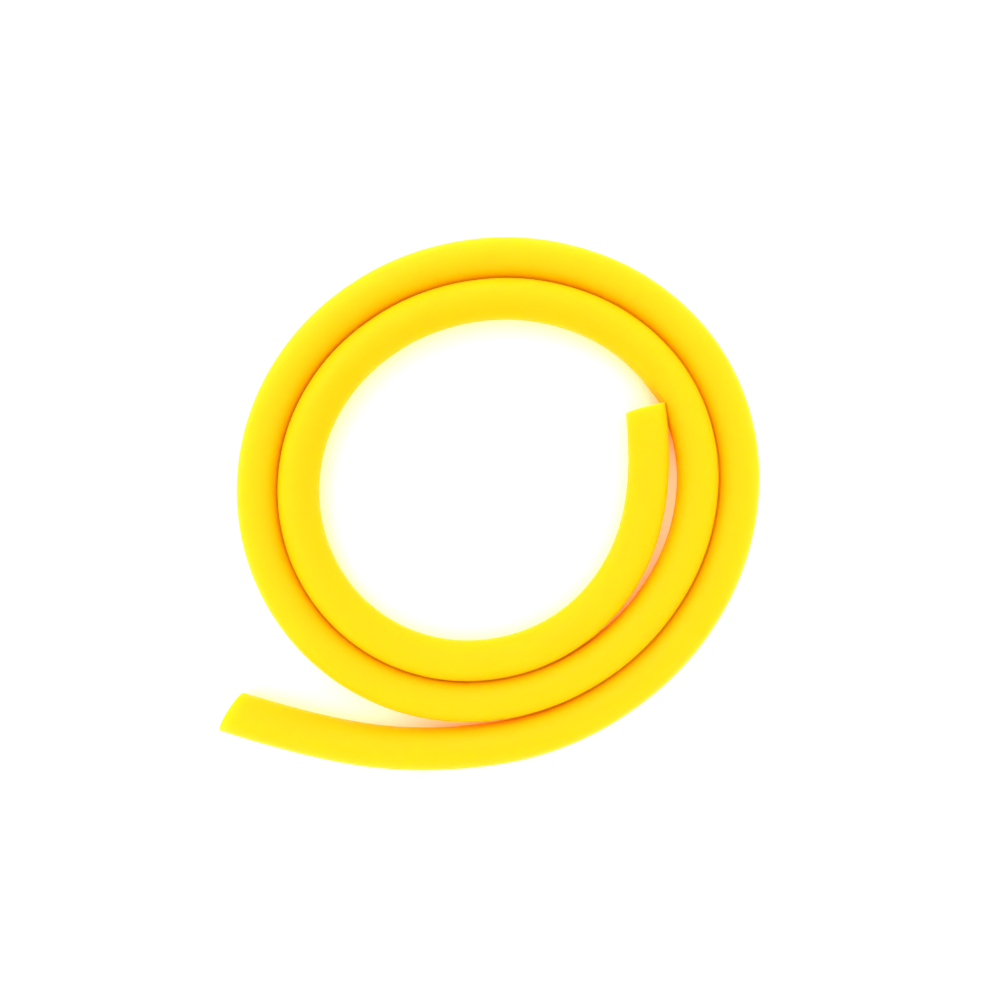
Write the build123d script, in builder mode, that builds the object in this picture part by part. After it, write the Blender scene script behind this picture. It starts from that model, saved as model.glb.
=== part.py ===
from build123d import *
import os
from math import cos, radians, tan

# A length of latex rubber tubing, cut by hand at both ends and laid down flat in a loose
# coil of two and a half turns. Lengths are in millimetres and angles in degrees.
# The frame: the tube rests on z = 0, and the origin is under the middle of its outline.
# A heading is the way the tube runs, seen from above, counted from +X towards +Y.

# Section of the tube
tube_diameter = 12.0
bore_diameter = 6.0
tube_radius = tube_diameter / 2
bore_radius = bore_diameter / 2

# Free inner tail, from its cut end to the coil
inner_tail_route = [(44.5, 28.5), (48.0, 11.0), (44.5, -11.5), (32.1, -32.0)]
inner_cut_heading = 104.0  # the way the cut end faces, 3 degrees off square

# Coil: two turns wound to the right, from the inside out, each lying against the last
coil_turns = 2
corners_per_turn = 16
coil_start = (13.7, -44.3)
coil_heading = 190.0
turn_clearance = 0.1
pitch = tube_diameter + turn_clearance
first_bend = 51.8  # bend radius where the coil starts
oval_bend = 7.1  # the tube bends this much less on the coil's two flatter sides
oval_heading = 28.0
lobe_bend = 3.6  # and this much less on its three slight lobes
lobe_heading = 115.0

# Free outer tail, from the coil to its cut end
outer_tail_route = [(19.6, -69.2), (-17.3, -74.6), (-50.8, -70.8), (-77.6, -62.3)]
outer_cut_heading = 152.0  # 10 degrees off square

# An arc takes this share of the shorter run beside it
arc_share = 0.45
cut_allowance = 4.0  # tube drawn past its end, for the cut to take off


def on_floor(places):
    """The tube's centreline over these places, with the tube resting on the floor."""
    return [Vector(x, y, tube_radius) for x, y in places]


def bend_radius(corner):
    """Radius of the tube's bend at a corner of the coil, counted from the coil's start."""
    step = 360 / corners_per_turn
    heading = coil_heading - (corner - 0.5) * step
    oval = oval_bend * cos(radians(2 * (heading - oval_heading)))
    lobes = lobe_bend * cos(radians(3 * (heading - lobe_heading)))
    return first_bend + pitch * corner / corners_per_turn + oval + lobes


def coil_route():
    """Corners of the coil: equal turns to the right, with runs as long as the bend needs."""
    step = 360 / corners_per_turn
    corners = on_floor([coil_start])
    for corner in range(1, coil_turns * corners_per_turn):
        heading = coil_heading - (corner - 1) * step
        run = tan(radians(step / 2)) * (bend_radius(corner - 1) + bend_radius(corner))
        corners.append(corners[-1] + Vector(run, 0).rotate(Axis.Z, heading))
    return corners


def arc_radii(points):
    """The largest arc that the two runs at each corner leave room for."""
    radii = []
    for before, corner, after in zip(points, points[1:], points[2:]):
        shorter_run = min((corner - before).length, (after - corner).length)
        half_turn = (corner - before).get_angle(after - corner) / 2
        radii.append(arc_share * shorter_run / tan(radians(half_turn)))
    return radii


def tube(points, radii, cut=None):
    """A hollow tube along straight runs and tangent arcs, cut off in front of a plane."""
    with BuildPart() as stretch:
        with BuildLine() as path:
            FilletPolyline(points, radius=radii)
        with BuildSketch(Plane(origin=path.wire() @ 0, z_dir=path.wire() % 0)):
            Circle(tube_radius)
            Circle(bore_radius, mode=Mode.SUBTRACT)
        sweep()
        if cut:
            split(bisect_by=cut, keep=Keep.BOTTOM)
    return stretch


def past(end, neighbour):
    """A point beyond the tube's end, in line with its last run."""
    return end + (end - neighbour).normalized() * cut_allowance


def cut_plane(end, heading):
    """The plane of a hand cut through the tube's end, facing this heading."""
    return Plane(origin=end, z_dir=Vector(1, 0).rotate(Axis.Z, heading))


# One route for the whole tube, parted halfway along the runs that join the coil
inner_points = on_floor(inner_tail_route)
coil_points = coil_route()
outer_points = on_floor(outer_tail_route)
route = inner_points + coil_points + outer_points
radii = arc_radii(route)
coil_entry = (inner_points[-1] + coil_points[0]) / 2
coil_exit = (coil_points[-1] + outer_points[0]) / 2
first_coil_arc = len(inner_points) - 1
first_outer_arc = first_coil_arc + len(coil_points)

# Free inner tail
tail_points = [past(route[0], route[1])] + inner_points[1:] + [coil_entry]
inner_cut = cut_plane(route[0], inner_cut_heading)
inner_tail = tube(tail_points, radii[:first_coil_arc], inner_cut)
inner_tail.part.label = "inner_tail"

# Coil
turn_points = [coil_entry] + coil_points + [coil_exit]
coil = tube(turn_points, radii[first_coil_arc:first_outer_arc])
coil.part.label = "coil"

# Free outer tail
tail_points = [coil_exit] + outer_points[:-1] + [past(route[-1], route[-2])]
outer_cut = cut_plane(route[-1], outer_cut_heading)
outer_tail = tube(tail_points, radii[first_outer_arc:], outer_cut)
outer_tail.part.label = "outer_tail"

os.makedirs("parts", exist_ok=True)
export_step(inner_tail.part, "parts/inner_tail.step")
export_step(coil.part, "parts/coil.step")
export_step(outer_tail.part, "parts/outer_tail.step")

print("arc radii:", [round(radius, 1) for radius in radii])
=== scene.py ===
from math import cos, pi, radians, sin, tan

import bmesh
import bpy
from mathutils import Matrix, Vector


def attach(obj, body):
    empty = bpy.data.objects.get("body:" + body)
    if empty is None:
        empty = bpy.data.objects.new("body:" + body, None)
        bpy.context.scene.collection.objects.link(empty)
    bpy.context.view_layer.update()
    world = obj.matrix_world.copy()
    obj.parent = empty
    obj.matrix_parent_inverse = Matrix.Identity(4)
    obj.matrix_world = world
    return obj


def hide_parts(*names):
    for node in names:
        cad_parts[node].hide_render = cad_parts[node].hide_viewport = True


# A length of yellow latex rubber tubing, laid down flat in a loose coil of two and a half turns.
# Lengths are in metres and angles in degrees. A heading is the way the tube runs, seen from
# above, counted from +X towards +Y.

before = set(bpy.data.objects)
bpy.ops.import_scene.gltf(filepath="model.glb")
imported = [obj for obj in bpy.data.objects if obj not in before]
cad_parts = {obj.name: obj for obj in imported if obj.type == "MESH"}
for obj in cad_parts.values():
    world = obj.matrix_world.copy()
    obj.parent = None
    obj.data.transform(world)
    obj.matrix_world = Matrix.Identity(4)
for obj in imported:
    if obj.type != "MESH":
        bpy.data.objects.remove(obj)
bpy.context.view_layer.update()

MM = 0.001
UP = Vector((0, 0, 1))

# Section of the tube
TUBE_RADIUS = 6 * MM
BORE_RADIUS = 3 * MM

# Route of the tube: free inner tail, two turns of coil, free outer tail.
# The inner tail's first points are up to 2 mm nearer to the next turn than the rigid tube's,
# because soft rubber gives way where its end pushes against that turn.
INNER_TAIL = [(0.0466, 0.0287), (0.0484, 0.0122), (0.0444, -0.0125), (0.0321, -0.0320)]
OUTER_TAIL = [(0.0196, -0.0692), (-0.0173, -0.0746), (-0.0508, -0.0708), (-0.0776, -0.0623)]
COIL_START = (0.0137, -0.0443)
COIL_HEADING = 190.0
COIL_TURNS = 2
CORNERS_PER_TURN = 16
CORNER_TURN = 360 / CORNERS_PER_TURN
PITCH = 2 * TUBE_RADIUS + 0.1 * MM
FIRST_BEND = 51.8 * MM
OVAL_BEND = 7.1 * MM
OVAL_HEADING = 28.0
LOBE_BEND = 3.6 * MM
LOBE_HEADING = 115.0

# The way each hand-cut end faces
INNER_CUT_HEADING = 104.0
OUTER_CUT_HEADING = 152.0


# Camera: straight above the coil, close enough for its strands to lean outwards in view

CAMERA_PLACE = (2.9 * MM, 1.1 * MM, 201 * MM)
SENSOR_WIDTH = 36
VIEW_WIDTH = 300 * MM  # seen across the middle of the tube's height

camera_data = bpy.data.cameras.new("camera")
camera_data.sensor_width = SENSOR_WIDTH
camera_data.lens = SENSOR_WIDTH * (CAMERA_PLACE[2] - TUBE_RADIUS) / VIEW_WIDTH
camera_data.clip_start = 10 * MM
camera = bpy.data.objects.new("camera", camera_data)
camera.location = CAMERA_PLACE
bpy.context.scene.collection.objects.link(camera)
bpy.context.scene.camera = camera


# Tube

STATION_STEPS = 12  # rings of the skin for each point of the route
SIDES = 56
BORE_SKIP = 3  # the bore needs a ring at every third station only
CUT_EDGE = 0.3 * MM  # rounding of a cut edge
CUT_EDGE_STEPS = 4
CUT_FADE = 14 * MM  # the slant of a cut fades out over this length
STRAND_APART = 100 * MM  # places further apart along the tube than this lie on other strands
CONTACT_GAP = 0.02 * MM  # left on each side of the flat where two strands press together


def bend_radius(corner):
    """Radius of the tube's bend at a corner of the coil, counted from the coil's start."""
    heading = COIL_HEADING - (corner - 0.5) * CORNER_TURN
    oval = OVAL_BEND * cos(radians(2 * (heading - OVAL_HEADING)))
    lobes = LOBE_BEND * cos(radians(3 * (heading - LOBE_HEADING)))
    return FIRST_BEND + PITCH * corner / CORNERS_PER_TURN + oval + lobes


def coil_route():
    """Corners of the coil: equal turns to the right, with runs as long as the bend needs."""
    corners = [Vector(COIL_START)]
    for corner in range(1, COIL_TURNS * CORNERS_PER_TURN):
        heading = radians(COIL_HEADING - (corner - 1) * CORNER_TURN)
        run = tan(radians(CORNER_TURN / 2)) * (bend_radius(corner - 1) + bend_radius(corner))
        corners.append(corners[-1] + run * Vector((cos(heading), sin(heading))))
    return corners


def line_along(places):
    """Points close together on the smooth line that these places of the route steer."""
    curve = bpy.data.curves.new("route", "CURVE")
    curve.dimensions = "3D"
    curve.resolution_u = STATION_STEPS
    spline = curve.splines.new("NURBS")
    spline.points.add(len(places) - 1)
    for point, place in zip(spline.points, places):
        point.co = (place[0], place[1], TUBE_RADIUS, 1)
    spline.order_u = 3
    spline.use_endpoint_u = True
    route = bpy.data.objects.new("route", curve)
    line = bpy.data.meshes.new_from_object(route)
    points = [vertex.co.copy() for vertex in line.vertices]
    bpy.data.objects.remove(route)
    bpy.data.curves.remove(curve)
    bpy.data.meshes.remove(line)
    return points


def slant_of(along, cut_heading):
    """How far a cut runs ahead along the tube for each step across it, towards its left."""
    facing = Vector((cos(radians(cut_heading)), sin(radians(cut_heading)), 0))
    left = UP.cross(along)
    return -facing.dot(left) / facing.dot(along)


def headings_of(points):
    """The way the line runs at each of its points."""
    ahead = points[1:] + points[-1:]
    behind = points[:1] + points[:-1]
    return [(b - a).normalized() for a, b in zip(behind, ahead)]


def lengths_to(points):
    """Length of the line from its first point to each of its points."""
    lengths = [0.0]
    for a, b in zip(points, points[1:]):
        lengths.append(lengths[-1] + (b - a).length)
    return lengths


def presses_on(points, lengths):
    """Where strands push against each other: for each point, the way to the other strand and
    how far off the flat between them lies, or None where nothing presses."""
    presses = []
    for place, length in zip(points, lengths):
        others = [p for p, there in zip(points, lengths) if abs(there - length) > STRAND_APART]
        nearest = min(others, key=lambda other: (other - place).length_squared)
        gap = (nearest - place).length
        press = ((nearest - place).normalized(), gap / 2 - CONTACT_GAP)
        presses.append(press if gap < 2 * TUBE_RADIUS else None)
    return presses


def rounded_edge():
    """A cut edge's rounding from one wall to the other: steps away from each, 0 to 1."""
    turns = [pi / 2 * step / CUT_EDGE_STEPS for step in range(CUT_EDGE_STEPS + 1)]
    return [(1 - cos(turn), 1 - sin(turn)) for turn in turns]


def hollow_tube(name, points, first_cut, last_cut):
    """A closed hollow tube along the line, with slanted, slightly rounded cuts at both ends.

    Its map holds the place around the section and the place along the tube, in metres.
    """
    along = headings_of(points)
    lengths = lengths_to(points)
    first_slant = slant_of(along[0], first_cut)
    last_slant = slant_of(along[-1], last_cut)
    presses = presses_on(points, lengths)
    mesh = bmesh.new()
    rings = []

    def add_ring(station, radius, part, push=0.0):
        from_first = max(0.0, 1 - lengths[station] / CUT_FADE)
        from_last = max(0.0, 1 - (lengths[-1] - lengths[station]) / CUT_FADE)
        slant = first_slant * from_first ** 1.5 + last_slant * from_last ** 1.5
        left = UP.cross(along[station])
        verts = []
        for side in range(SIDES):
            angle = 2 * pi * side / SIDES - pi / 2
            across = radius * cos(angle)
            offset = left * across + UP * (radius * sin(angle))
            if presses[station]:
                way, room = presses[station]
                offset -= way * max(0.0, offset.dot(way) - room)
            ahead = push + slant * across
            verts.append(mesh.verts.new(points[station] + offset + along[station] * ahead))
        rings.append((verts, lengths[station] + push, part))

    last = len(points) - 1
    middle = range(1, last)
    edge = rounded_edge()

    # skin, from the first end to the last
    for station in middle:
        add_ring(station, TUBE_RADIUS, "skin")
    # last cut, from the skin to the bore
    for inward, back in edge:
        add_ring(last, TUBE_RADIUS - CUT_EDGE * inward, "cut", -CUT_EDGE * back)
    for back, outward in edge:
        add_ring(last, BORE_RADIUS + CUT_EDGE * outward, "cut", -CUT_EDGE * back)
    # bore, from the last end to the first
    for station in reversed(middle[::BORE_SKIP]):
        add_ring(station, BORE_RADIUS, "bore")
    # first cut, from the bore to the skin
    for outward, back in edge:
        add_ring(0, BORE_RADIUS + CUT_EDGE * outward, "cut", CUT_EDGE * back)
    for back, inward in edge:
        add_ring(0, TUBE_RADIUS - CUT_EDGE * inward, "cut", CUT_EDGE * back)

    place_map = mesh.loops.layers.uv.new("around_and_along")
    slots = {"skin": 0, "cut": 1, "bore": 2}
    for ring, following in zip(rings, rings[1:] + rings[:1]):
        verts, length, part = ring
        next_verts, next_length, next_part = following
        # faces between a wall and a cut belong to the wall
        wall = next_part if part == "cut" else part
        for side in range(SIDES):
            after = (side + 1) % SIDES
            face = mesh.faces.new([verts[side], next_verts[side], next_verts[after], verts[after]])
            face.smooth = True
            face.material_index = slots[wall]
            spots = [(side, length), (side, next_length), (side + 1, next_length), (side + 1, length)]
            for loop, (turned, place) in zip(face.loops, spots):
                loop[place_map].uv = (2 * pi * TUBE_RADIUS * turned / SIDES, place)
    bmesh.ops.recalc_face_normals(mesh, faces=mesh.faces)
    data = bpy.data.meshes.new(name)
    mesh.to_mesh(data)
    mesh.free()
    tube = bpy.data.objects.new(name, data)
    bpy.context.scene.collection.objects.link(tube)
    return tube


places = [Vector(place) for place in INNER_TAIL]
places += coil_route()
places += [Vector(place) for place in OUTER_TAIL]
centre_line = line_along(places)
tube = hollow_tube("latex_tube", centre_line, INNER_CUT_HEADING, OUTER_CUT_HEADING)


# Materials


def colour(code):
    """An sRGB hex colour as linear red, green, blue and alpha."""
    channels = [int(code[i:i + 2], 16) / 255 for i in (1, 3, 5)]
    return [c / 12.92 if c <= 0.04045 else ((c + 0.055) / 1.055) ** 2.4 for c in channels] + [1]


def node(tree, kind, inputs=None, **settings):
    """Adds a node with its settings, and fills its inputs with values or links."""
    new = tree.nodes.new(kind)
    for name, value in settings.items():
        setattr(new, name, value)
    for name, value in (inputs or {}).items():
        if isinstance(value, bpy.types.NodeSocket):
            tree.links.new(value, new.inputs[name])
        else:
            new.inputs[name].default_value = value
    return new


def empty_material(name):
    material = bpy.data.materials.new(name)
    material.use_nodes = True
    material.node_tree.nodes.clear()
    return material, material.node_tree


# Latex rubber: red and green light travel far through it and blue is taken up, so thin places
# and shadows glow orange
LATEX_IOR = 1.52
LATEX_GLOSS = 0.12  # the powder leaves hardly any gloss
SKIN_GLOW = (1.0, 0.85, 0.05)
CUT_GLOW = (1.0, 0.6, 0.05)


def latex_skin():
    """Natural latex tubing, dyed through, extruded and chlorine-washed: a silky, almost matt
    skin, with faint lines along it from the die and a trace of powder."""
    material, tree = empty_material("dyed_natural_latex_extruded")
    spot = node(tree, "ShaderNodeUVMap", uv_map="around_and_along").outputs["UV"]
    body = node(tree, "ShaderNodeTexCoord").outputs["Object"]
    # die lines, half a millimetre apart around the tube and drawn out along it
    drawn = node(tree, "ShaderNodeMapping", {
        "Vector": spot, "Scale": (1 / (0.5 * MM), 1 / (40 * MM), 1)}).outputs["Vector"]
    lines = node(tree, "ShaderNodeTexNoise", {
        "Vector": drawn, "Scale": 1.0, "Detail": 3.0}).outputs["Fac"]
    # uneven dye, in clouds of about 20 mm
    clouds = node(tree, "ShaderNodeTexNoise", {
        "Vector": body, "Scale": 1 / (20 * MM), "Detail": 2.0}).outputs["Fac"]
    # powder left by the wash, in patches of about 3 mm
    powder = node(tree, "ShaderNodeTexNoise", {
        "Vector": body, "Scale": 1 / (3 * MM), "Detail": 6.0}).outputs["Fac"]
    powdered = node(tree, "ShaderNodeMapRange", {
        "Value": powder, "From Min": 0.55, "From Max": 0.8, "To Min": 0.0, "To Max": 0.10})
    dyed = node(tree, "ShaderNodeMix", {
        0: clouds, 6: colour("#FFB600"), 7: colour("#FFB200")}, data_type="RGBA")
    lined = node(tree, "ShaderNodeMix", {
        0: lines, 6: dyed.outputs[2], 7: colour("#FFB400")}, data_type="RGBA")
    bloom = node(tree, "ShaderNodeMix", {
        0: powdered.outputs["Result"], 6: lined.outputs[2], 7: colour("#FFC22A")},
        data_type="RGBA")
    rough = node(tree, "ShaderNodeMapRange", {
        "Value": powder, "From Min": 0.3, "From Max": 0.8, "To Min": 0.52, "To Max": 0.68})
    # skin like fine peel, 0.8 mm apart and a few hundredths high
    peel = node(tree, "ShaderNodeTexNoise", {
        "Vector": body, "Scale": 1 / (0.8 * MM), "Detail": 2.0}).outputs["Fac"]
    peel_bump = node(tree, "ShaderNodeBump", {
        "Height": peel, "Strength": 0.25, "Distance": 0.03 * MM}).outputs["Normal"]
    line_bump = node(tree, "ShaderNodeBump", {
        "Height": lines, "Strength": 0.35, "Distance": 0.04 * MM, "Normal": peel_bump})
    shader = node(tree, "ShaderNodeBsdfPrincipled", {
        "Base Color": bloom.outputs[2], "Roughness": rough.outputs["Result"],
        "IOR": LATEX_IOR, "Specular IOR Level": LATEX_GLOSS,
        "Subsurface Weight": 1.0, "Subsurface Radius": SKIN_GLOW,
        "Subsurface Scale": 9 * MM, "Normal": line_bump.outputs["Normal"]})
    node(tree, "ShaderNodeOutputMaterial", {"Surface": shader.outputs["BSDF"]})
    return material


def latex_cut():
    """The same latex where a blade went through it: drier and duller, with drag marks."""
    material, tree = empty_material("dyed_natural_latex_knife_cut")
    body = node(tree, "ShaderNodeTexCoord").outputs["Object"]
    # drag marks, 0.4 mm apart
    marks = node(tree, "ShaderNodeTexNoise", {
        "Vector": body, "Scale": 1 / (0.4 * MM), "Detail": 5.0}).outputs["Fac"]
    tone = node(tree, "ShaderNodeMix", {
        0: marks, 6: colour("#FFB214"), 7: colour("#FFC03C")}, data_type="RGBA")
    bump = node(tree, "ShaderNodeBump", {
        "Height": marks, "Strength": 0.5, "Distance": 0.08 * MM})
    shader = node(tree, "ShaderNodeBsdfPrincipled", {
        "Base Color": tone.outputs[2], "Roughness": 0.75,
        "IOR": LATEX_IOR, "Specular IOR Level": LATEX_GLOSS,
        "Subsurface Weight": 0.6, "Subsurface Radius": CUT_GLOW,
        "Subsurface Scale": 4 * MM, "Normal": bump.outputs["Normal"]})
    node(tree, "ShaderNodeOutputMaterial", {"Surface": shader.outputs["BSDF"]})
    return material


def latex_bore():
    """The bore's own skin, dusted with powder so that it doesn't stick to itself."""
    material, tree = empty_material("dyed_natural_latex_powdered_bore")
    spot = node(tree, "ShaderNodeUVMap", uv_map="around_and_along").outputs["UV"]
    body = node(tree, "ShaderNodeTexCoord").outputs["Object"]
    # die lines, 0.8 mm apart
    drawn = node(tree, "ShaderNodeMapping", {
        "Vector": spot, "Scale": (1 / (0.8 * MM), 1 / (30 * MM), 1)}).outputs["Vector"]
    lines = node(tree, "ShaderNodeTexNoise", {
        "Vector": drawn, "Scale": 1.0, "Detail": 3.0}).outputs["Fac"]
    # powder, in grains of 1.2 mm so that they show
    powder = node(tree, "ShaderNodeTexNoise", {
        "Vector": body, "Scale": 1 / (1.2 * MM), "Detail": 6.0}).outputs["Fac"]
    tone = node(tree, "ShaderNodeMix", {
        0: powder, 6: colour("#F2A40A"), 7: colour("#FFC454")}, data_type="RGBA")
    bump = node(tree, "ShaderNodeBump", {
        "Height": lines, "Strength": 0.4, "Distance": 0.05 * MM})
    shader = node(tree, "ShaderNodeBsdfPrincipled", {
        "Base Color": tone.outputs[2], "Roughness": 0.8,
        "IOR": LATEX_IOR, "Specular IOR Level": LATEX_GLOSS,
        "Subsurface Weight": 0.6, "Subsurface Radius": CUT_GLOW,
        "Subsurface Scale": 4 * MM, "Normal": bump.outputs["Normal"]})
    node(tree, "ShaderNodeOutputMaterial", {"Surface": shader.outputs["BSDF"]})
    return material


for finish in (latex_skin(), latex_cut(), latex_bore()):
    tube.data.materials.append(finish)

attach(tube, "root")
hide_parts("inner_tail", "coil", "outer_tail")


# Floor: plain cream paper under the lamp, so bright that it looks white in the open. It also glows
# faint orange by itself: a painted glow that stands in for light passed through and bounced off the
# yellow latex, and it warms and lightens the shadows, the gaps between strands and the tube's
# undersides

FLOOR_SIZE = 6
FLOOR_DROP = 0.02 * MM  # keeps the floor clear of the tube's underside

bpy.ops.mesh.primitive_plane_add(size=FLOOR_SIZE, location=(0, 0, -FLOOR_DROP))
floor = bpy.context.object
floor.name = "floor"
paper_with_painted_glow, tree = empty_material("cream_paper_with_painted_orange_glow")
shader = node(tree, "ShaderNodeBsdfPrincipled", {
    "Base Color": colour("#FFF5E6"), "Roughness": 0.9, "Specular IOR Level": 0.1,
    # painted light: the paper's own orange glow, standing in for light tinted by the latex; the paper
    # is no lamp
    "Emission Color": colour("#FF9A00"), "Emission Strength": 0.4})
node(tree, "ShaderNodeOutputMaterial", {"Surface": shader.outputs["BSDF"]})
floor.data.materials.append(paper_with_painted_glow)


# Light: one broad soft lamp, above and a little to the left, in a bright white room

LAMP_PLACE = Vector((-0.5, 0.9, 1.1))
LAMP_SIZE = 0.9
LAMP_WATTS = 6.5
ROOM_LIGHT = 1.65

lamp = bpy.data.lights.new("key", "AREA")
lamp.shape = "DISK"
lamp.size = LAMP_SIZE
lamp.energy = LAMP_WATTS
light = bpy.data.objects.new("key", lamp)
light.location = LAMP_PLACE
light.rotation_euler = (-LAMP_PLACE).to_track_quat("-Z", "Y").to_euler()
bpy.context.scene.collection.objects.link(light)

world = bpy.data.worlds.new("white_room")
world.use_nodes = True
background = world.node_tree.nodes["Background"]
background.inputs["Color"].default_value = (1, 1, 1, 1)
background.inputs["Strength"].default_value = ROOM_LIGHT
bpy.context.scene.world = world
bpy.context.scene.view_settings.view_transform = "Standard"
